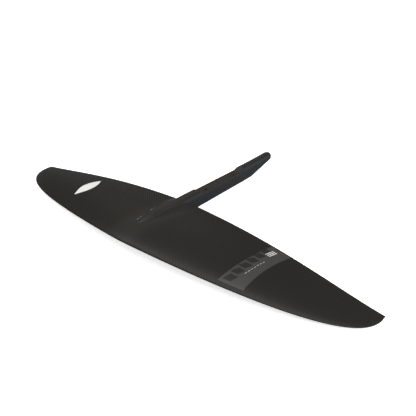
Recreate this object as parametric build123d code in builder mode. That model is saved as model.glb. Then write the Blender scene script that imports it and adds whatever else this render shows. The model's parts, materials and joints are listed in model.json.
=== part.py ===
from build123d import *
from math import cos, pi, radians, sqrt, tan
import os

os.makedirs("parts", exist_ok=True)

# Hydrofoil front wing with a one-piece rear boom, moulded in carbon.
# Origin: middle of the mast seat's floor. +X is the rider's right, +Y points aft, +Z is up.

# ---- wing ----
HALF_SPAN = 480.0
TIP_LINE_Y = -143.4  # the line through both wing tips, ahead of the mast seat
CHORD_PLANE_Z = -5.4  # height of the root chord line
LEADING_SWEEP = 174.4  # root leading edge, ahead of the tip line
LEADING_POWERS = (1.43, 0.396)
TRAILING_SWEEP = 26.3  # root trailing edge, behind the tip line
TRAILING_POWERS = (2.82, 1.8)
ANHEDRAL = 43.7  # how far the tips droop below the root
DROOP_POWER = 1.54
ROOT_THICKNESS = 0.112  # section thickness over chord
TIP_THICKNESS = 0.085
CAMBER = 0.016
EDGE_THICKNESS = 0.8  # blunt trailing edge
SKIN = 1.6
CAP = 1.4  # spar cap thickness
BOND = 0.1  # glue line between the skins and what they hold
CAVITY_END = 0.925  # fraction of the half span where the hollow stops
SPAR_END = 0.80
TIP_END = 0.9985

# chord fractions where the pieces inside the wing meet
LEADING_FILLER_END = 0.10
SPAR_FRONT = 0.29
SPAR_REAR = 0.41
TRAILING_FILLER_START = 0.80

# ---- boom ----
SEAT_LENGTH = 142.0
SEAT_DEPTH = 12.0
SEAT_FLOOR = 10.0  # width of the channel's flat floor
SEAT_SLOPE = 24.0  # rise of the channel's sides, degrees
SEAT_REACH = 20.0  # half width of the seat's cutter
BOOM_TOP = SEAT_DEPTH
BOOM_BOTTOM = -27.5
BOOM_HALF_WIDTH = 15.5
CORNER_SHARE = 0.30  # corner radius of the section over its width
BOOM_NOSE_Y = -268.4  # the nose is buried in the wing
NOSE_HALF_WIDTH = 1.5
NOSE_LENGTH = 110.0
NOSE_DROP = 8.0
HUMP_Y = -217.4  # highest point of the fairing over the wing
HUMP_HEIGHT = 2.8
FAIRING_START_Y = -260.4  # the fairing's nose ends in a low lip
HUMP_LENGTH = 90.0
BELLY_Y = -100.0
BELLY_RISE = 22.0
TAPER_START_Y = -110.0
TAIL_TAPER = 3.4
STATION_COUNT = 20
HOLLOW_START = 6  # the boom is solid over the wing and hollow behind its trailing edge
BOOM_WALL = 3.0
TAIL_END_Y = 204.0
RAMP_START_Y = 117.5
TAIL_BOTTOM = -4.7
TAIL_RADIUS = 10.0
TAIL_WIDTH = 25.6
BLOCK_HALF_LENGTH = 92.0  # the hard block under the mast seat

# ---- fastening ----
MAST_HOLE_SPACING = 100.0
MAST_HOLE_RADIUS = 3.3
SLEEVE_RADIUS = 5.5
SLEEVE_HEAD_RADIUS = 7.5
SLEEVE_HEAD_DEPTH = 4.5
COUNTERSINK_RADIUS = 6.3
TAIL_HOLE_SPACING = 36.0
TAIL_HOLE_Y = 162.0
TAIL_HOLE_RADIUS = 2.5
INSERT_RADIUS = 4.5
INSERT_TOP = 5.0
INSERT_FLOOR = 1.5  # closed end of each insert


# ---- wing geometry ----
def leading_edge(s):
    inner, outer = LEADING_POWERS
    return TIP_LINE_Y - LEADING_SWEEP * (1 - abs(s) ** inner) ** outer


def trailing_edge(s):
    inner, outer = TRAILING_POWERS
    return TIP_LINE_Y + TRAILING_SWEEP * (1 - abs(s) ** inner) ** outer


def chord(s):
    return trailing_edge(s) - leading_edge(s)


def height(s):
    return CHORD_PLANE_Z - ANHEDRAL * abs(s) ** DROOP_POWER


def camber_line(s, t):
    return 4 * CAMBER * chord(s) * t * (1 - t)


def half_thickness(s, t):
    ratio = ROOT_THICKNESS + (TIP_THICKNESS - ROOT_THICKNESS) * abs(s)
    shape = 0.2969 * sqrt(t) - 0.1260 * t - 0.3516 * t**2 + 0.2843 * t**3 - 0.1036 * t**4
    return 5 * ratio * chord(s) * shape + EDGE_THICKNESS / 2 * t


def surface_point(s, t, side, inset=0.0):
    """A point of the section at span fraction s: side 1 is the upper surface, -1 the lower, 0 the camber line."""
    return (leading_edge(s) + t * chord(s), camber_line(s, t) + side * (half_thickness(s, t) - inset))


def closing_fraction(s, inset, low, high):
    """The chord fraction between low and high where the section is only inset thick on each side."""
    for step in range(40):
        middle = (low + high) / 2
        if (half_thickness(s, middle) > inset) == (half_thickness(s, high) > inset):
            high = middle
        else:
            low = middle
    return (low + high) / 2


def section_plane(s):
    return Plane(origin=(s * HALF_SPAN, 0, height(s)), x_dir=(0, 1, 0), z_dir=(1, 0, 0))


def surface_curve(s, side, inset=0.0, count=12):
    """Points of one surface from nose to tail; an inset surface closes on the camber line at both ends."""
    front = closing_fraction(s, inset, 0.0, 0.3) if inset else 0.0
    rear = closing_fraction(s, inset, 1.0, 0.4) if inset else 1.0
    points = []
    for i in range(count + 1):
        t = front + (rear - front) * (1 - cos(pi * i / count)) / 2
        points.append(surface_point(s, t, side, inset))
    if inset:
        points[0] = surface_point(s, front, 0)
        points[-1] = surface_point(s, rear, 0)
    return points


def stations(end, count=6):
    return [end * i / count for i in range(-count, count + 1)]


def lens(end, inset):
    """The wing's volume out to the span fraction end, inset from its outer surface."""
    with BuildPart() as body:
        for s in stations(end):
            with BuildSketch(section_plane(s)):
                with BuildLine():
                    upper = Spline(surface_curve(s, 1, inset))
                    lower = Spline(surface_curve(s, -1, inset))
                    if not inset:
                        Line(upper @ 1, lower @ 1)
                make_face()
        loft()
    return body.part


def skin(side):
    """One wing skin: the outer surface, its inner face, and bonding flats on the camber line at both edges."""
    with BuildPart() as body:
        for s in stations(CAVITY_END):
            with BuildSketch(section_plane(s)):
                with BuildLine():
                    outer = Spline(surface_curve(s, side))
                    inner = Spline(surface_curve(s, side, SKIN))
                    Line(outer @ 0, inner @ 0)
                    Polyline(inner @ 1, surface_point(s, 1, 0), outer @ 1)
                make_face()
        loft()
    return body.part


def chord_line(fraction, count=24):
    """A line along the span at one chord fraction, in plan."""
    points = []
    for i in range(-count, count + 1):
        s = CAVITY_END * i / count
        points.append((s * HALF_SPAN, leading_edge(s) + fraction * chord(s)))
    return points


def chord_band(front, rear):
    """An upright prism between two chord fractions."""
    with BuildPart() as body:
        with BuildSketch(Plane.XY.offset(-80)):
            with BuildLine():
                fore = Spline(chord_line(front))
                aft = Spline(chord_line(rear))
                Line(fore @ 0, aft @ 0)
                Line(fore @ 1, aft @ 1)
            make_face()
        extrude(amount=120)
    return body.part


def wing_piece(volume, front, rear, inner, outer):
    """The part of a wing volume between two chord fractions and two span fractions."""
    middle = (inner + outer) / 2 * HALF_SPAN
    with BuildPart() as piece:
        add(volume)
        add(chord_band(front, rear), mode=Mode.INTERSECT)
        with Locations((middle, TIP_LINE_Y, 0)):
            Box(abs(outer - inner) * HALF_SPAN, 600, 200, mode=Mode.INTERSECT)
    return piece


def wing_tip(hand):
    """The solid end of the wing, outboard of the hollow, rounded in plan."""
    fractions = (CAVITY_END, 0.945, 0.963, 0.978, 0.989, 0.996, TIP_END)
    with BuildPart() as piece:
        for s in fractions:
            with BuildSketch(section_plane(hand * s)):
                with BuildLine():
                    upper = Spline(surface_curve(s, 1))
                    lower = Spline(surface_curve(s, -1))
                    Line(upper @ 1, lower @ 1)
                make_face()
        loft()
    return piece


# ---- boom geometry ----
def boom_half_width(y):
    """An elliptic nose inside the wing, then straight sides that draw in towards the tail."""
    nose = min((y - BOOM_NOSE_Y) / NOSE_LENGTH, 1)
    nose_shape = sqrt(1 - (1 - nose) ** 2)
    tail_share = max(y - TAPER_START_Y, 0) / (TAIL_END_Y - TAPER_START_Y)
    return NOSE_HALF_WIDTH + (BOOM_HALF_WIDTH - NOSE_HALF_WIDTH) * nose_shape - TAIL_TAPER * tail_share**1.1


def boom_top(y):
    """The crest: highest over the wing, easing down to the level of the boom ahead of the mast seat."""
    if y < HUMP_Y:
        return BOOM_TOP + HUMP_HEIGHT - NOSE_DROP * ((HUMP_Y - y) / (HUMP_Y - BOOM_NOSE_Y)) ** 2
    share = min((y - HUMP_Y) / HUMP_LENGTH, 1)
    return BOOM_TOP + HUMP_HEIGHT * (1 + cos(pi * share)) / 2


def boom_bottom(y):
    share = max(BELLY_Y - y, 0) / (BELLY_Y - BOOM_NOSE_Y)
    return BOOM_BOTTOM + BELLY_RISE * share**2


def boom_blank(inset=0.0, front=0):
    """The boom before its seat and ramp are cut; front drops that many stations from the nose."""
    with BuildPart() as body:
        for i in range(front, STATION_COUNT + 1):
            y = BOOM_NOSE_Y + (TAIL_END_Y - BOOM_NOSE_Y) * i / STATION_COUNT
            width = 2 * (boom_half_width(y) - inset)
            depth = boom_top(y) - boom_bottom(y) - 2 * inset
            middle = (boom_top(y) + boom_bottom(y)) / 2
            with BuildSketch(Plane(origin=(0, y, middle), x_dir=(1, 0, 0), z_dir=(0, 1, 0))):
                RectangleRounded(width, depth, CORNER_SHARE * width)
        loft()
    return body.part


def seat_cut(drop=0.0):
    """What the mast foot takes up: a channel with a flat floor and rising sides, between two leaning ends."""
    half_floor = SEAT_FLOOR / 2
    rise = (SEAT_REACH - half_floor) * tan(radians(SEAT_SLOPE))
    half_length = SEAT_LENGTH / 2 + drop
    above = 2 * SEAT_DEPTH
    with BuildPart() as body:
        with BuildSketch(Plane.XZ):
            Polygon(
                (-SEAT_REACH, above),
                (SEAT_REACH, above),
                (SEAT_REACH, rise - drop),
                (half_floor, -drop),
                (-half_floor, -drop),
                (-SEAT_REACH, rise - drop),
                align=None,
            )
        extrude(amount=half_length + above, both=True)
        with BuildSketch(Plane.YZ):
            Polygon(
                (-half_length, -above),
                (half_length, -above),
                (half_length, 0),
                (half_length + above, above),
                (-half_length - above, above),
                (-half_length, 0),
                align=None,
            )
        extrude(amount=SEAT_REACH, both=True, mode=Mode.INTERSECT)
    return body.part


def ramp_height(y):
    return BOOM_BOTTOM + (TAIL_BOTTOM - BOOM_BOTTOM) * (y - RAMP_START_Y) / (TAIL_END_Y - RAMP_START_Y)


def ramp_cut(lift=0.0):
    """All below the sloping underside of the tail."""
    start = RAMP_START_Y - 30
    end = TAIL_END_Y + 30
    with BuildPart() as body:
        with BuildSketch(Plane.YZ):
            Polygon(
                (start, ramp_height(start) + lift),
                (end, ramp_height(end) + lift),
                (end, -80),
                (start, -80),
                align=None,
            )
        extrude(amount=30, both=True)
    return body.part


def tail_outline(inset=0.0):
    """An upright prism that rounds the end of the tail in plan."""
    with BuildPart() as body:
        with BuildSketch(Plane.XY.offset(-60)):
            with Locations((0, TAIL_END_Y - inset)):
                RectangleRounded(TAIL_WIDTH, 100, TAIL_RADIUS, align=(Align.CENTER, Align.MAX))
            with Locations((0, TAIL_END_Y - inset - 25)):
                Rectangle(60, 600, align=(Align.CENTER, Align.MAX))
        extrude(amount=100)
    return body.part


def boom_solid():
    with BuildPart() as body:
        add(boom_blank())
        add(seat_cut(), mode=Mode.SUBTRACT)
        add(ramp_cut(), mode=Mode.SUBTRACT)
        add(tail_outline(), mode=Mode.INTERSECT)
    return body.part


def boom_cavity():
    with BuildPart() as body:
        add(boom_blank(BOOM_WALL, front=HOLLOW_START))
        add(seat_cut(BOOM_WALL), mode=Mode.SUBTRACT)
        add(ramp_cut(BOOM_WALL), mode=Mode.SUBTRACT)
        add(tail_outline(TAIL_RADIUS + BOOM_WALL), mode=Mode.INTERSECT)
        with Locations((0, TIP_LINE_Y + TRAILING_SWEEP + BOOM_WALL, 0)):
            Box(80, 600, 120, align=(Align.CENTER, Align.MIN, Align.CENTER), mode=Mode.INTERSECT)
    return body.part


def mast_holes():
    """The two screw holes of the mast, right through the boom."""
    with BuildPart() as body:
        with BuildSketch(Plane.XY.offset(BOOM_BOTTOM - 5)):
            with GridLocations(0, MAST_HOLE_SPACING, 1, 2):
                Circle(MAST_HOLE_RADIUS)
        extrude(amount=50)
    return body.part


def sleeves(below=0.0):
    """A flanged sleeve round each mast screw, from the underside, or so far below it, to the seat's shell."""
    with BuildPart() as body:
        with BuildSketch(Plane.XY.offset(BOOM_BOTTOM - below)):
            with GridLocations(0, MAST_HOLE_SPACING, 1, 2):
                Circle(SLEEVE_HEAD_RADIUS)
        extrude(amount=SLEEVE_HEAD_DEPTH + below)
        with BuildSketch(Plane.XY.offset(BOOM_BOTTOM)):
            with GridLocations(0, MAST_HOLE_SPACING, 1, 2):
                Circle(SLEEVE_RADIUS)
        extrude(amount=-BOOM_BOTTOM - BOOM_WALL)
    return body.part


def inserts():
    """The tail's two threaded inserts, cut flush with the ramp."""
    with BuildPart() as body:
        with BuildSketch(Plane.XY.offset(BOOM_BOTTOM)):
            with Locations((0, TAIL_HOLE_Y)):
                with GridLocations(0, TAIL_HOLE_SPACING, 1, 2):
                    Circle(INSERT_RADIUS)
        extrude(amount=INSERT_TOP - BOOM_BOTTOM)
        add(ramp_cut(), mode=Mode.SUBTRACT)
    return body.part


def halved(volume, upper):
    """The part of a volume above or below the plane where the two boom shells meet."""
    with BuildPart() as piece:
        add(volume)
        split(bisect_by=Plane.XY.offset(CHORD_PLANE_Z), keep=Keep.TOP if upper else Keep.BOTTOM)
    return piece


def write(piece, name):
    piece.part.label = name
    export_step(piece.part, f"parts/{name}.step")


# ---- wing pieces ----
wing_volume = lens(CAVITY_END, 0.0)
cavity = lens(CAVITY_END, SKIN + BOND)
inner_cavity = lens(CAVITY_END, SKIN + BOND + CAP)

with BuildPart() as wing_upper_skin:
    add(skin(1))
write(wing_upper_skin, "wing_upper_skin")

with BuildPart() as wing_lower_skin:
    add(skin(-1))
write(wing_lower_skin, "wing_lower_skin")

spar_zone = wing_piece(cavity, SPAR_FRONT, SPAR_REAR, -SPAR_END, SPAR_END)

with BuildPart() as spar_web:
    add(spar_zone.part)
    add(inner_cavity, mode=Mode.INTERSECT)
write(spar_web, "spar_web")

with BuildPart() as spar_caps:
    add(spar_zone.part)
    add(inner_cavity, mode=Mode.SUBTRACT)

with BuildPart() as upper_spar_cap:
    add(spar_caps.part.solids().sort_by(Axis.Z)[-1])
write(upper_spar_cap, "upper_spar_cap")

with BuildPart() as lower_spar_cap:
    add(spar_caps.part.solids().sort_by(Axis.Z)[0])
write(lower_spar_cap, "lower_spar_cap")

for side_name, hand in (("left", -1), ("right", 1)):
    end = hand * CAVITY_END
    leading_filler = wing_piece(cavity, -0.05, LEADING_FILLER_END, 0, end)
    write(leading_filler, f"leading_edge_filler_{side_name}")
    front_core = wing_piece(cavity, LEADING_FILLER_END, SPAR_FRONT, 0, end)
    write(front_core, f"front_core_{side_name}")
    outer_core = wing_piece(cavity, SPAR_FRONT, SPAR_REAR, hand * SPAR_END, end)
    write(outer_core, f"outer_core_{side_name}")
    rear_core = wing_piece(cavity, SPAR_REAR, TRAILING_FILLER_START, 0, end)
    write(rear_core, f"rear_core_{side_name}")
    trailing_filler = wing_piece(cavity, TRAILING_FILLER_START, 1.05, 0, end)
    write(trailing_filler, f"trailing_edge_filler_{side_name}")
    tip_block = wing_tip(hand)
    write(tip_block, f"tip_block_{side_name}")


# ---- boom pieces ----
hollow = boom_cavity()

with BuildPart() as boom_shell:
    add(boom_solid())
    add(wing_volume, mode=Mode.SUBTRACT)
    add(hollow, mode=Mode.SUBTRACT)
    add(mast_holes(), mode=Mode.SUBTRACT)
    add(sleeves(below=SKIN), mode=Mode.SUBTRACT)
    add(inserts(), mode=Mode.SUBTRACT)

upper_half = halved(boom_shell.part, upper=True)
with BuildPart() as boom_upper_shell:
    add(upper_half.part)
    with Locations((0, FAIRING_START_Y, 0)):
        Box(80, 600, 120, align=(Align.CENTER, Align.MIN, Align.CENTER), mode=Mode.INTERSECT)
write(boom_upper_shell, "boom_upper_shell")

boom_lower_shell = halved(boom_shell.part, upper=False)
write(boom_lower_shell, "boom_lower_shell")

with BuildPart() as boom_front_core:
    add(hollow)
    with Locations((0, -BLOCK_HALF_LENGTH, 0)):
        Box(80, 400, 120, align=(Align.CENTER, Align.MAX, Align.CENTER), mode=Mode.INTERSECT)
write(boom_front_core, "boom_front_core")

with BuildPart() as mast_block:
    add(hollow)
    Box(80, 2 * BLOCK_HALF_LENGTH, 120, mode=Mode.INTERSECT)
    add(sleeves(), mode=Mode.SUBTRACT)
write(mast_block, "mast_block")

with BuildPart() as tail_block:
    add(hollow)
    with Locations((0, BLOCK_HALF_LENGTH, 0)):
        Box(80, 400, 120, align=(Align.CENTER, Align.MIN, Align.CENTER), mode=Mode.INTERSECT)
    add(inserts(), mode=Mode.SUBTRACT)
write(tail_block, "tail_block")

with BuildPart() as mast_screw_sleeves:
    add(sleeves())
    add(mast_holes(), mode=Mode.SUBTRACT)
    with Locations(Plane(origin=(0, 0, BOOM_BOTTOM), z_dir=(0, 0, -1))):
        with GridLocations(0, MAST_HOLE_SPACING, 1, 2):
            CounterSinkHole(MAST_HOLE_RADIUS, COUNTERSINK_RADIUS, depth=40)
write(mast_screw_sleeves, "mast_screw_sleeves")

with BuildPart() as tail_thread_inserts:
    add(inserts())
    with BuildSketch(Plane.XY.offset(BOOM_BOTTOM)):
        with Locations((0, TAIL_HOLE_Y)):
            with GridLocations(0, TAIL_HOLE_SPACING, 1, 2):
                Circle(TAIL_HOLE_RADIUS)
    extrude(amount=INSERT_TOP - INSERT_FLOOR - BOOM_BOTTOM, mode=Mode.SUBTRACT)
write(tail_thread_inserts, "tail_thread_inserts")
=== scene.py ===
import json
from math import cos, pi, radians, sin

import bpy
import numpy as np
from mathutils import Matrix, Vector


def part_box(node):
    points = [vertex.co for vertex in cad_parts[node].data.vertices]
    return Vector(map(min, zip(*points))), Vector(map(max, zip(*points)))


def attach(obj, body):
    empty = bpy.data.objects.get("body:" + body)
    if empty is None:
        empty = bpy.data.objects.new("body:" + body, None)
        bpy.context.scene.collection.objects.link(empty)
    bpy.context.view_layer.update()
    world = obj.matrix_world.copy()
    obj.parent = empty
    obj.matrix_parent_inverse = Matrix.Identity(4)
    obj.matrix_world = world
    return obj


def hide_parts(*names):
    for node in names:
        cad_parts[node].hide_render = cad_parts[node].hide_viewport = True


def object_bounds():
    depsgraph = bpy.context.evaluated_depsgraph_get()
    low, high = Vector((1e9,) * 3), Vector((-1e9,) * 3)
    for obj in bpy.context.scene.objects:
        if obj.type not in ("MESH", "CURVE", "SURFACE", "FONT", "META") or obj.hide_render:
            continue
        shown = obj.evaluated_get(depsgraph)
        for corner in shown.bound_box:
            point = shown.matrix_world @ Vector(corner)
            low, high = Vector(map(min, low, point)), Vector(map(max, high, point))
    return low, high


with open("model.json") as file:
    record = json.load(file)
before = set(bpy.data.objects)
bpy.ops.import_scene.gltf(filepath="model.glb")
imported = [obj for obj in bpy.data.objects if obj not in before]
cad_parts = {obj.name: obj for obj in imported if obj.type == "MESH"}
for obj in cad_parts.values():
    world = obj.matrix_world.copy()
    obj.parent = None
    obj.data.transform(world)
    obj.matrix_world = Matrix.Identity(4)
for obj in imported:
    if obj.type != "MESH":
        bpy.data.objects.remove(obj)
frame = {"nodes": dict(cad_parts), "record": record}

cad_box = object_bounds()

# ---- driving dimensions, in metres; +X to the rider's right, +Y aft, +Z up ----
TIP_END = 0.9985  # the CAD wing stops at this fraction of the half span
HALF_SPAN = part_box("tip_block_right")[1][0] / TIP_END
TIP_LINE_Y = -0.1434
CHORD_PLANE_Z = -0.0054
LEADING_SWEEP = 0.1744
LEADING_POWERS = (1.43, 0.396)
TRAILING_SWEEP = 0.0263
TRAILING_POWERS = (2.82, 1.8)
ANHEDRAL = 0.0437
DROOP_POWER = 1.54
ROOT_THICKNESS = 0.112
TIP_THICKNESS = 0.085
CAMBER = 0.016
EDGE_THICKNESS = 0.0008

SEAT_HALF_LENGTH = 0.071
SEAT_FLOOR = 0.010
SEAT_SLOPE = radians(24)
BOOM_TOP = 0.012
BOOM_BOTTOM = -0.0275
BOOM_HALF_WIDTH = 0.0155
BOOM_NOSE_Y = -0.2684
NOSE_HALF_WIDTH = 0.0015
NOSE_LENGTH = 0.110
NOSE_DROP = 0.008
HUMP_Y = -0.2174
HUMP_LENGTH = 0.090
HUMP_HEIGHT = 0.0028
BELLY_Y = -0.100
BELLY_RISE = 0.022
TAPER_START_Y = -0.110
TAIL_TAPER = 0.0034
TAIL_RADIUS = 0.010
TAIL_EDGE = 0.005  # length over which the tail's top rounds off
TAIL_EDGE_DROP = 0.0015
FILLET_START_Y = -0.215
FILLET_END_Y = -0.118
FILLET_HEIGHT = 0.80  # share of the boom's height above the wing
TAIL_END_Y = 0.2065
RAMP_START_Y = 0.1175
TAIL_BOTTOM = -0.0047
MAST_HOLES_Y = (-0.050, 0.050)
MAST_HOLE_RADIUS = 0.0033
SLEEVE_HEAD_RADIUS = 0.0076  # just wider than the steel sleeve's head
TAIL_HOLES_Y = (0.144, 0.180)
INSERT_RADIUS = 0.0046  # just wider than the steel insert
BELOW_BOOM = -0.034  # where the cutters start, under the boom


# ---- surfaces of the wing ----
def leading_edge(s):
    a, b = LEADING_POWERS
    return TIP_LINE_Y - LEADING_SWEEP * np.maximum(1 - np.abs(s) ** a, 0) ** b


def trailing_edge(s):
    a, b = TRAILING_POWERS
    return TIP_LINE_Y + TRAILING_SWEEP * np.maximum(1 - np.abs(s) ** a, 0) ** b


def wing_height(s, t, side):
    """Height of the wing's surface at span fraction s and chord fraction t; side 1 is the upper surface."""
    chord = trailing_edge(s) - leading_edge(s)
    ratio = ROOT_THICKNESS + (TIP_THICKNESS - ROOT_THICKNESS) * np.abs(s)
    shape = 0.2969 * np.sqrt(t) - 0.1260 * t - 0.3516 * t**2 + 0.2843 * t**3 - 0.1036 * t**4
    edge = np.minimum(EDGE_THICKNESS / 2, 0.02 * chord)
    camber = 4 * CAMBER * chord * t * (1 - t)
    droop = ANHEDRAL * np.abs(s) ** DROOP_POWER
    return CHORD_PLANE_Z - droop + camber + side * (5 * ratio * chord * shape + edge * t)


# ---- surfaces of the boom ----
def soft_min(a, b, blend):
    return 0.5 * (a + b - np.sqrt((a - b) ** 2 + blend**2))


def soft_max(a, b, blend):
    return 0.5 * (a + b + np.sqrt((a - b) ** 2 + blend**2))


def boom_half_width(y):
    nose = np.clip((y - BOOM_NOSE_Y) / NOSE_LENGTH, 0, 1)
    taper = np.clip((y - TAPER_START_Y) / (TAIL_END_Y - TAPER_START_Y), 0, 1)
    swell = (BOOM_HALF_WIDTH - NOSE_HALF_WIDTH) * np.sqrt(1 - (1 - nose) ** 2)
    width = NOSE_HALF_WIDTH + swell - TAIL_TAPER * taper**1.1
    end = np.clip((y - TAIL_END_Y + TAIL_RADIUS) / TAIL_RADIUS, 0, 1)
    return width * (1 - end**2.8) ** (1 / 2.8)


def boom_crest(y):
    """Height of the boom's top on its centre line."""
    share = np.clip((y - HUMP_Y) / HUMP_LENGTH, 0, 1)
    hump = HUMP_HEIGHT * (1 + np.cos(pi * share)) / 2
    nose = NOSE_DROP * (np.maximum(HUMP_Y - y, 0) / (HUMP_Y - BOOM_NOSE_Y)) ** 2
    end = np.clip((y - TAIL_END_Y + TAIL_EDGE) / TAIL_EDGE, 0, 1)
    return BOOM_TOP + hump - nose - TAIL_EDGE_DROP * end**2


def boom_belly(y):
    """Height of the boom's underside on its centre line, ramp included."""
    nose = BELLY_RISE * (np.maximum(BELLY_Y - y, 0) / (BELLY_Y - BOOM_NOSE_Y)) ** 2
    ramp = BOOM_BOTTOM + (TAIL_BOTTOM - BOOM_BOTTOM) * (y - RAMP_START_Y) / (TAIL_END_Y - RAMP_START_Y)
    return soft_max(BOOM_BOTTOM + nose, ramp, 0.0012)


def seat_roof(x, y):
    """The mast seat: a channel with a flat floor and rising sides, stepping up at both ends."""
    side = soft_max(np.abs(x) - SEAT_FLOOR / 2, 0 * x, 0.0008) * np.tan(SEAT_SLOPE)
    step = np.maximum(np.abs(y) - SEAT_HALF_LENGTH, 0)
    return soft_max(side, step, 0.001)


def boom_section(y, count):
    """Points round the boom at one station, starting at the right-hand side and going over the top."""
    half_width = max(float(boom_half_width(y)), 1e-5)
    top = float(boom_crest(y))
    bottom = float(boom_belly(y))
    middle = (top + bottom) / 2
    angle = 2 * pi * np.arange(count) / count
    aft = float(np.clip((y - TAPER_START_Y) / (TAIL_END_Y - TAPER_START_Y), 0, 1))
    power = np.where(np.sin(angle) >= 0, 2.9 - 0.6 * aft, 3.4)
    x = half_width * np.sign(np.cos(angle)) * np.abs(np.cos(angle)) ** (2 / power)
    z = middle + (top - middle) * np.sign(np.sin(angle)) * np.abs(np.sin(angle)) ** (2 / power)
    roof = seat_roof(x, np.full_like(x, y))
    z = np.where(z > middle, soft_min(z, roof, 0.0009), z)
    return np.column_stack((x, np.full(count, y), z))


def spaced(*stops):
    """Joined even runs: each stop is (position, spacing up to it)."""
    values = [stops[0][0]]
    for position, spacing in stops[1:]:
        count = max(int(round(abs(position - values[-1]) / spacing)), 1)
        start = values[-1]
        values += [start + (position - start) * (i + 1) / count for i in range(count)]
    return values


# ---- mesh helpers ----
def mesh_object(name, vertices, faces, sharp=35):
    mesh = bpy.data.meshes.new(name)
    mesh.from_pydata([tuple(v) for v in vertices], [], faces)
    mesh.validate()
    mesh.polygons.foreach_set("use_smooth", [True] * len(mesh.polygons))
    mesh.set_sharp_from_angle(angle=radians(sharp))
    piece = bpy.data.objects.new(name, mesh)
    bpy.context.scene.collection.objects.link(piece)
    return piece


def ring_faces(rings, count, first=0):
    """Quads between closed rings of equal size."""
    faces = []
    for i in range(rings - 1):
        for j in range(count):
            a = first + i * count + j
            b = first + i * count + (j + 1) % count
            faces.append((a, b, b + count, a + count))
    return faces


def cut_holes(piece, positions, radius, low, high):
    """Bores straight round holes into a piece and applies the cut."""
    for x, y in positions:
        bpy.ops.mesh.primitive_cylinder_add(
            vertices=64, radius=radius, depth=high - low, location=(x, y, (low + high) / 2)
        )
        tool = bpy.context.object
        cut = piece.modifiers.new("hole", "BOOLEAN")
        cut.object = tool
        cut.solver = "EXACT"
        bpy.context.view_layer.objects.active = piece
        bpy.ops.object.modifier_apply(modifier=cut.name)
        bpy.data.objects.remove(tool)


# ---- the wing's moulding ----
def fillet_share(x, y):
    """1 at the boom's side, falling to 0 at the foot of the fillet, which widens towards the tail."""
    spread = np.clip((y - FILLET_START_Y) / (FILLET_END_Y - FILLET_START_Y), 0, 1)
    reach = 0.004 + 0.025 * spread
    near = np.clip(1 - (np.abs(x) - boom_half_width(y) + 0.001) / reach, 0, 1)
    return near**1.7 * np.clip((y - BOOM_NOSE_Y - 0.012) / 0.05, 0, 1)


def wing_point(s, t, side):
    y = leading_edge(s) + t * (trailing_edge(s) - leading_edge(s))
    x = s * HALF_SPAN
    surface = wing_height(s, t, side)
    above = np.maximum(boom_crest(y) - surface, 0) * FILLET_HEIGHT
    below = np.maximum(surface - boom_belly(y), 0) * 0.4
    rise = np.where(side > 0, above, -below) * fillet_share(x, y) * (1 - t**10)
    return x, y, surface + rise


def build_wing():
    """One closed skin, tip to tip, with fine columns beside the boom and towards the round tips."""
    half = spaced(
        (0.0, 0.004), (0.010, 0.005), (0.050, 0.0011), (0.40, 0.0045), (0.46, 0.0025), (0.474, 0.0012)
    )
    half += [HALF_SPAN * f for f in (0.9905, 0.9925, 0.9943, 0.9958, 0.9970, 0.9979, TIP_END)]
    spans = np.array([-x for x in reversed(half[1:])] + half) / HALF_SPAN
    columns = 72
    t = (1 - np.cos(pi * np.arange(columns + 1) / columns)) / 2
    vertices = []
    for s in spans:
        upper = np.column_stack(np.broadcast_arrays(*wing_point(s, t, 1)))
        lower = np.column_stack(np.broadcast_arrays(*wing_point(s, t, -1)))
        vertices += list(upper) + list(lower[::-1][:-1])
    count = 2 * columns + 1
    faces = ring_faces(len(spans), count)
    faces.append(tuple(range(count)))
    faces.append(tuple(reversed(range(len(vertices) - count, len(vertices)))))
    wing = mesh_object("wing_moulding", vertices, faces, sharp=50)
    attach(wing, "root")
    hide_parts("wing_upper_skin", "wing_lower_skin", "tip_block_left", "tip_block_right")
    return wing


# ---- the boom's moulding ----
def build_boom():
    edge = SEAT_HALF_LENGTH
    stations = spaced(
        (BOOM_NOSE_Y, 0.004),
        (-edge - 0.016, 0.004),
        (-edge + 0.002, 0.0005),
        (edge - 0.002, 0.004),
        (edge + 0.016, 0.0005),
        (RAMP_START_Y - 0.006, 0.004),
        (RAMP_START_Y + 0.006, 0.001),
        (TAIL_END_Y - 0.012, 0.004),
        (TAIL_END_Y - 0.002, 0.0008),
        (TAIL_END_Y - 0.0001, 0.0003),
    )
    count = 96
    vertices = []
    for y in stations:
        vertices += list(boom_section(y, count))
    faces = ring_faces(len(stations), count)
    faces.append(tuple(range(count)))
    faces.append(tuple(reversed(range(len(vertices) - count, len(vertices)))))
    boom = mesh_object("boom_moulding", vertices, faces)
    cut_holes(boom, [(0, y) for y in MAST_HOLES_Y], MAST_HOLE_RADIUS, -0.0030, BOOM_TOP)
    cut_holes(boom, [(0, y) for y in MAST_HOLES_Y], SLEEVE_HEAD_RADIUS, BELOW_BOOM, -0.0230)
    cut_holes(boom, [(0, y) for y in TAIL_HOLES_Y], INSERT_RADIUS, BELOW_BOOM, 0.0050)
    boom.data.polygons.foreach_set("use_smooth", [True] * len(boom.data.polygons))
    boom.data.set_sharp_from_angle(angle=radians(32))
    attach(boom, "root")
    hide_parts("boom_upper_shell", "boom_lower_shell")
    return boom


# ---- printed marks on the wing, and one painted highlight ----
def print_and_highlight_patch(name, outline_left, outline_right, start, end, lift, rows=40, columns=8):
    """A thin patch that follows the upper surface, between two lines given over the chord; it carries print,
    and the pale rim line as painted highlight.
    """
    vertices = []
    for i in range(rows + 1):
        t = start + (end - start) * i / rows
        for j in range(columns + 1):
            x = outline_left(t) + (outline_right(t) - outline_left(t)) * j / columns
            s = x / HALF_SPAN
            px, py, pz = wing_point(s, t, 1)
            vertices.append((px, py, pz + lift))
    faces = []
    for i in range(rows):
        for j in range(columns):
            a = i * (columns + 1) + j
            faces.append((a, a + 1, a + columns + 2, a + columns + 1))
    patch = mesh_object(name, vertices, faces, sharp=180)
    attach(patch, "root")
    return patch


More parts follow.
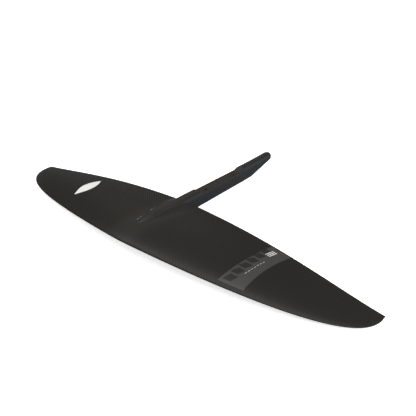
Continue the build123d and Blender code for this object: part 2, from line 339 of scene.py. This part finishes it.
# ---- materials ----
class Nodes:
    """Short calls for building a node tree."""

    def __init__(self, name):
        self.material = bpy.data.materials.new(name)
        self.material.use_nodes = True
        self.tree = self.material.node_tree
        self.shader = self.tree.nodes["Principled BSDF"]

    def add(self, kind, **values):
        node = self.tree.nodes.new(kind)
        for key, value in values.items():
            setattr(node, key, value)
        return node

    def link(self, source, target):
        self.tree.links.new(source, target)

    def math(self, operation, a, b=None, c=None):
        node = self.add("ShaderNodeMath", operation=operation)
        for socket, value in zip(node.inputs, (a, b, c)):
            if value is None:
                continue
            if isinstance(value, (int, float)):
                socket.default_value = value
            else:
                self.link(value, socket)
        return node.outputs[0]

    def mix(self, factor, a, b):
        node = self.add("ShaderNodeMix", data_type="RGBA")
        for socket, value in ((node.inputs[0], factor), (node.inputs[6], a), (node.inputs[7], b)):
            if isinstance(value, (int, float, tuple)):
                socket.default_value = value
            else:
                self.link(value, socket)
        return node.outputs[2]

    def noise(self, scale, detail=3.0, stretch=(1, 1, 1)):
        mapping = self.add("ShaderNodeMapping")
        mapping.inputs["Scale"].default_value = stretch
        self.link(self.position(), mapping.inputs["Vector"])
        node = self.add("ShaderNodeTexNoise")
        node.inputs["Scale"].default_value = scale
        node.inputs["Detail"].default_value = detail
        self.link(mapping.outputs[0], node.inputs["Vector"])
        return node.outputs["Fac"]

    def position(self):
        return self.add("ShaderNodeTexCoord").outputs["Object"]

    def split_position(self):
        node = self.add("ShaderNodeSeparateXYZ")
        self.link(self.position(), node.inputs[0])
        return node

    def remap(self, value, low, high, to_low, to_high):
        node = self.add("ShaderNodeMapRange")
        self.link(value, node.inputs[0])
        for socket, number in zip(node.inputs[1:5], (low, high, to_low, to_high)):
            socket.default_value = number
        return node.outputs[0]

    def bump(self, height, strength, distance, normal=None):
        node = self.add("ShaderNodeBump")
        node.inputs["Strength"].default_value = strength
        node.inputs["Distance"].default_value = distance
        self.link(height, node.inputs["Height"])
        if normal is not None:
            self.link(normal, node.inputs["Normal"])
        return node.outputs[0]

    def finish(self, colour, roughness, normal, coat=0.0, coat_roughness=0.2, metallic=0.0, specular=0.5):
        shader = self.shader
        self.link(colour, shader.inputs["Base Color"])
        self.link(roughness, shader.inputs["Roughness"])
        if normal is not None:
            self.link(normal, shader.inputs["Normal"])
        shader.inputs["Coat Weight"].default_value = coat
        shader.inputs["Coat Roughness"].default_value = coat_roughness
        shader.inputs["Metallic"].default_value = metallic
        shader.inputs["Specular IOR Level"].default_value = specular
        return self.material


TOW = 0.00175  # width of one carbon tow
FLOOR_BOUNCE = (0.31, 0.35, 0.41, 1)  # what the floor shows to the object
FLOOR_GLOW = (0.62, 0.62, 0.62, 1)  # added for the camera, so that the paper is evenly white


def twill(n):
    """A two-by-two twill: returns where the lengthwise tows lie on top, and the height of the cloth."""
    split = n.split_position()
    across = n.math("DIVIDE", split.outputs[0], TOW)
    along = n.math("DIVIDE", split.outputs[1], TOW)
    step = n.math("ADD", n.math("FLOOR", across), n.math("FLOOR", along))
    on_top = n.math("LESS_THAN", n.math("FLOORED_MODULO", step, 4.0), 2.0)
    across_round = n.math("ABSOLUTE", n.math("SINE", n.math("MULTIPLY", across, pi)))
    along_round = n.math("ABSOLUTE", n.math("SINE", n.math("MULTIPLY", along, pi)))
    difference = n.math("SUBTRACT", across_round, along_round)
    height = n.math("MULTIPLY_ADD", difference, on_top, along_round)
    return on_top, height


def woven_carbon(name, dark, light):
    n = Nodes(name)
    on_top, height = twill(n)
    split = n.split_position()
    beside_boom = n.remap(n.math("ABSOLUTE", split.outputs[0]), 0.020, 0.046, 0.0, 1.0)
    blotch = n.noise(9.0, 4.0)
    grain = n.noise(900.0, 2.0)
    # Painted sheen: the tows lying lengthwise on top and those lying crosswise are the same fibre, given two
    # colours that stand in for their direction-dependent reflection. Beside the boom the cloth gives way to
    # plain satin resin.
    cloth = n.mix(beside_boom, (0.0205, 0.0192, 0.0175, 1), n.mix(on_top, dark, light))
    shade = n.mix(n.remap(blotch, 0.35, 0.65, 0.0, 0.22), cloth, (0.012, 0.012, 0.012, 1))
    # painted shade: away from the boom, the cloth is darkened where its height is low, in the grooves between
    # tows
    painted_groove_shade = n.math("MULTIPLY", n.remap(height, 0.0, 0.35, 0.55, 0.0), beside_boom)
    colour = n.mix(painted_groove_shade, shade, (0.006, 0.006, 0.006, 1))
    rough = n.math("ADD", n.remap(on_top, 0, 1, 0.44, 0.34), n.remap(grain, 0.3, 0.7, -0.03, 0.03))
    normal = n.bump(n.math("MULTIPLY", height, beside_boom), 0.35, 0.00012)
    normal = n.bump(grain, 0.05, 0.0001, normal)
    return n.finish(colour, rough, normal, specular=0.22)


def satin_carbon(name):
    n = Nodes(name)
    flow = n.noise(30.0, 4.0, stretch=(6, 1, 6))
    grain = n.noise(1400.0, 2.0)
    share = n.remap(flow, 0.3, 0.7, 0.0, 1.0)
    colour = n.mix(share, (0.0165, 0.0158, 0.0145, 1), (0.0215, 0.0206, 0.0190, 1))
    split = n.split_position()
    in_seat = n.math("LESS_THAN", n.math("ABSOLUTE", split.outputs[1]), SEAT_HALF_LENGTH + BOOM_TOP - 0.001)
    matt = n.math("MULTIPLY", in_seat, n.math("LESS_THAN", n.math("ABSOLUTE", split.outputs[0]), 0.0125))
    satin = n.math("ADD", n.remap(flow, 0.3, 0.7, 0.36, 0.44), n.remap(grain, 0.3, 0.7, -0.02, 0.02))
    rough = n.math("MULTIPLY_ADD", matt, 0.25, satin)
    normal = n.bump(grain, 0.06, 0.0001)
    return n.finish(colour, rough, normal, specular=0.28)


# Flat ink for the print marks; the pale rim dashes use it too, there as painted highlight.
def print_and_highlight_ink(name, colour, other):
    n = Nodes(name)
    height = twill(n)[1]
    speck = n.noise(500.0, 3.0)
    tint = n.mix(n.remap(speck, 0.35, 0.65, 0.0, 0.5), colour, other)
    rough = n.remap(speck, 0.3, 0.7, 0.40, 0.52)
    normal = n.bump(height, 0.15, 0.0001)
    return n.finish(tint, rough, normal, coat=0.05, coat_roughness=0.3, specular=0.3)


def brushed_steel(name):
    n = Nodes(name)
    brush = n.noise(220.0, 4.0, stretch=(1, 1, 12))
    colour = n.mix(brush, (0.42, 0.42, 0.42, 1), (0.66, 0.66, 0.65, 1))
    rough = n.remap(brush, 0.3, 0.7, 0.22, 0.38)
    normal = n.bump(brush, 0.1, 0.0001)
    return n.finish(colour, rough, normal, metallic=1.0)


def inner_material(name, colour, other, roughness):
    n = Nodes(name)
    cell = n.noise(700.0, 2.0)
    tint = n.mix(cell, colour, other)
    rough = n.remap(cell, 0.3, 0.7, roughness - 0.08, roughness + 0.08)
    return n.finish(tint, rough, n.bump(cell, 0.2, 0.0002))


def paper_floor(name):
    """Pale paper; what it throws back on the object is held down, as black flags do beside a studio table."""
    n = Nodes(name)
    speck = n.noise(3.0, 2.0)
    seen = n.mix(speck, (0.94, 0.94, 0.94, 1), (0.96, 0.96, 0.96, 1))
    path = n.add("ShaderNodeLightPath")
    colour = n.mix(path.outputs["Is Camera Ray"], FLOOR_BOUNCE, seen)
    glow = n.mix(path.outputs["Is Camera Ray"], (0, 0, 0, 1), FLOOR_GLOW)
    n.link(glow, n.shader.inputs["Emission Color"])
    n.shader.inputs["Emission Strength"].default_value = 1.0
    return n.finish(colour, n.remap(speck, 0, 1, 0.9, 1.0), None, specular=0.0)


def dress(piece, material):
    if not piece.material_slots:
        piece.data.materials.append(material)
    for slot in piece.material_slots:
        slot.material = material


# ---- build ----
wing = build_wing()
boom = build_boom()
# the two tow colours are painted sheen, lighter where the lengthwise tows lie on top
dress(wing, woven_carbon("wing_twill", (0.0112, 0.0107, 0.0095, 1), (0.0165, 0.0158, 0.0142, 1)))
dress(boom, satin_carbon("boom_satin"))

# the pale band on the right half: straight inner side, bowed outer side
band = print_and_highlight_patch(
    "wing_band",
    lambda t: 0.2245 + 0.0105 * t,
    lambda t: 0.2745 - 0.012 * t + 0.019 * t**2,
    0.045,
    0.98,
    0.00006,
)
dress(band, print_and_highlight_ink("band_ink", (0.046, 0.045, 0.0435, 1), (0.039, 0.038, 0.037, 1)))

# plain slanted blocks, ticks and a broken line where the wing carries its lettering
dark_ink = print_and_highlight_ink("dark_ink", (0.013, 0.013, 0.0125, 1), (0.018, 0.018, 0.017, 1))
# painted highlight: pale dashes along the fairing's left foot, standing in for light caught on its edge
painted_rim_highlight = print_and_highlight_ink("painted_rim_highlight", (0.42, 0.42, 0.41, 1), (0.34, 0.34, 0.33, 1))
white_ink = print_and_highlight_ink("white_ink", (0.80, 0.80, 0.79, 1), (0.74, 0.74, 0.73, 1))


def slanted(centre, half, slant, middle):
    """The two long sides of a slanted mark, which crosses its centre at the chord fraction middle."""
    return (
        lambda t: centre - half + slant * (t - middle),
        lambda t: centre + half + slant * (t - middle),
    )


for i in range(6):
    middle = 0.14 + 0.135 * i
    left, right = slanted(0.2395, 0.0075, 0.05, middle)
    dress(print_and_highlight_patch(f"band_block_{i + 1}", left, right, middle - 0.052, middle + 0.052, 0.00012), dark_ink)
for i in range(3):
    left, right = slanted(0.2460 + 0.0042 * i, 0.0008, 0.02, 0.84)
    dress(print_and_highlight_patch(f"band_tick_{i + 1}", left, right, 0.76, 0.90, 0.00012), white_ink)
for i in range(7):
    start = 0.28 + 0.052 * i
    dash = print_and_highlight_patch(
        f"band_dash_{i + 1}",
        lambda t: 0.2485 + 0.014 * t,
        lambda t: 0.2490 + 0.014 * t,
        start,
        start + 0.032,
        0.00012,
    )
    dress(dash, white_ink)

# a plain drop on the left half
emblem = print_and_highlight_patch(
    "wing_drop",
    lambda t: -0.219 - 0.035 * t - 0.017 * sin(pi * (t - 0.24) / 0.56),
    lambda t: -0.219 - 0.035 * t + 0.017 * sin(pi * (t - 0.24) / 0.56),
    0.24,
    0.80,
    0.00008,
)
dress(emblem, white_ink)

# the broken pale line along the left foot of the fairing: painted highlight, standing in for the light caught
# along the fairing's edge
for i in range(11):
    start = 0.305 + 0.051 * i
    foot = 0.0012 + 0.0185 * ((start - 0.29) / 0.55) ** 0.62
    if i < 4:
        middle_y = leading_edge(0.02) + (trailing_edge(0.02) - leading_edge(0.02)) * (start + 0.016)
        foot = max(foot, boom_half_width(middle_y) + 0.0006)
    dash = print_and_highlight_patch(
        f"rim_highlight_dash_{i + 1}", lambda t: -foot - 0.0006, lambda t: -foot + 0.0001, start, start + 0.032, 0.0003
    )
    dress(dash, painted_rim_highlight)

steel = brushed_steel("stainless_steel")
foam = inner_material("foam", (0.72, 0.70, 0.62, 1), (0.60, 0.58, 0.50, 1), 0.8)
filler = inner_material("filler", (0.09, 0.09, 0.09, 1), (0.06, 0.06, 0.06, 1), 0.6)
spar = inner_material("spar", (0.02, 0.02, 0.02, 1), (0.035, 0.035, 0.035, 1), 0.45)
SLOT_MATERIALS = {
    "foam_core": foam,
    "cast_filler": filler,
    "unidirectional_carbon": spar,
    "stainless": steel,
}
for entry in frame["record"]["subparts"]:
    if entry["material_slot"] in SLOT_MATERIALS:
        dress(frame["nodes"][entry["node"]], SLOT_MATERIALS[entry["material_slot"]])


# ---- studio ----
def build_floor():
    low = cad_box[0][2]
    size = 30.0
    corners = [(-size, -size, low), (size, -size, low), (size, size, low), (-size, size, low)]
    floor = mesh_object("floor", corners, [(0, 1, 2, 3)])
    dress(floor, paper_floor("pale_floor"))


def toward(azimuth, elevation):
    """Unit vector at an azimuth from the nose, turning to the right half, and an elevation, in degrees."""
    a, e = radians(azimuth), radians(elevation)
    return Vector((sin(a) * cos(e), -cos(a) * cos(e), sin(e)))


def soft_light(name, azimuth, elevation, distance, size, power, colour):
    light = bpy.data.lights.new(name, "AREA")
    light.shape = "RECTANGLE"
    light.size = size[0]
    light.size_y = size[1]
    light.energy = power
    light.color = colour
    lamp = bpy.data.objects.new(name, light)
    lamp.location = toward(azimuth, elevation) * distance
    lamp.rotation_euler = lamp.location.to_track_quat("Z", "Y").to_euler()
    bpy.context.scene.collection.objects.link(lamp)


def build_camera(azimuth, elevation, distance, focal, offset):
    """A camera at that angle round the tips' line; offset moves it sideways and up in its own view."""
    a, e = radians(azimuth), radians(elevation)
    right = Vector((cos(a), sin(a), 0))
    up = Vector((-sin(a) * sin(e), cos(a) * sin(e), cos(e)))
    back = toward(azimuth, elevation)
    camera = bpy.data.objects.new("camera", bpy.data.cameras.new("camera"))
    place = Vector((0, TIP_LINE_Y, CHORD_PLANE_Z)) + right * offset[0] + up * offset[1] + back * distance
    camera.matrix_world = Matrix.Translation(place) @ Matrix((right, up, back)).transposed().to_4x4()
    camera.data.lens = focal
    camera.data.sensor_width = 36
    camera.data.clip_start = 0.01
    bpy.context.scene.collection.objects.link(camera)
    bpy.context.scene.camera = camera


def build_world():
    """A dim room, cool on the right, warm and darker on the left, warm overhead, behind a pale backdrop."""
    world = bpy.data.worlds.new("studio")
    world.use_nodes = True
    nodes = world.node_tree.nodes
    links = world.node_tree.links
    direction = nodes.new("ShaderNodeTexCoord")
    split = nodes.new("ShaderNodeSeparateXYZ")
    links.new(direction.outputs["Generated"], split.inputs[0])

    def ramp(source, low, high):
        node = nodes.new("ShaderNodeMapRange")
        node.inputs["From Min"].default_value = low
        node.inputs["From Max"].default_value = high
        links.new(source, node.inputs[0])
        return node.outputs[0]

    def blend(factor, a, b):
        """Mixes a colour or another mix with the colour b."""
        node = nodes.new("ShaderNodeMix")
        node.data_type = "RGBA"
        links.new(factor, node.inputs[0])
        if isinstance(a, tuple):
            node.inputs[6].default_value = a
        else:
            links.new(a, node.inputs[6])
        node.inputs[7].default_value = b
        return node.outputs[2]

    walls = blend(ramp(split.outputs[0], -0.7, 0.7), (0.11, 0.10, 0.085, 1), (0.40, 0.46, 0.54, 1))
    room = blend(ramp(split.outputs[2], 0.3, 0.85), walls, (0.50, 0.46, 0.40, 1))
    path = nodes.new("ShaderNodeLightPath")
    seen = blend(path.outputs["Is Camera Ray"], room, (1.5, 1.5, 1.5, 1))
    links.new(seen, nodes["Background"].inputs["Color"])
    nodes["Background"].inputs["Strength"].default_value = 0.6
    bpy.context.scene.world = world


def build_sun():
    """A very wide overhead source, so that the paper is evenly white and shadows stay faint."""
    light = bpy.data.lights.new("sky_panel", "SUN")
    light.energy = 3.0
    light.angle = radians(80)
    light.color = (1.0, 0.985, 0.965)
    lamp = bpy.data.objects.new("sky_panel", light)
    lamp.rotation_euler = toward(-10, 66).to_track_quat("Z", "Y").to_euler()
    bpy.context.scene.collection.objects.link(lamp)


build_floor()
build_world()
build_sun()
soft_light("back_warm", 228, 28, 2.4, (1.4, 0.7), 1.2, (1.0, 0.92, 0.82))
soft_light("right_high", 80, 24, 2.6, (2.0, 1.4), 16, (0.97, 0.98, 1.0))
soft_light("side_cool", 132, 6, 2.6, (3.0, 1.8), 20, (0.86, 0.93, 1.0))
build_camera(40.0, 29.07, 1.1089, 43.80, (0.0651, -0.0032))
bpy.context.scene.view_settings.view_transform = "Standard"
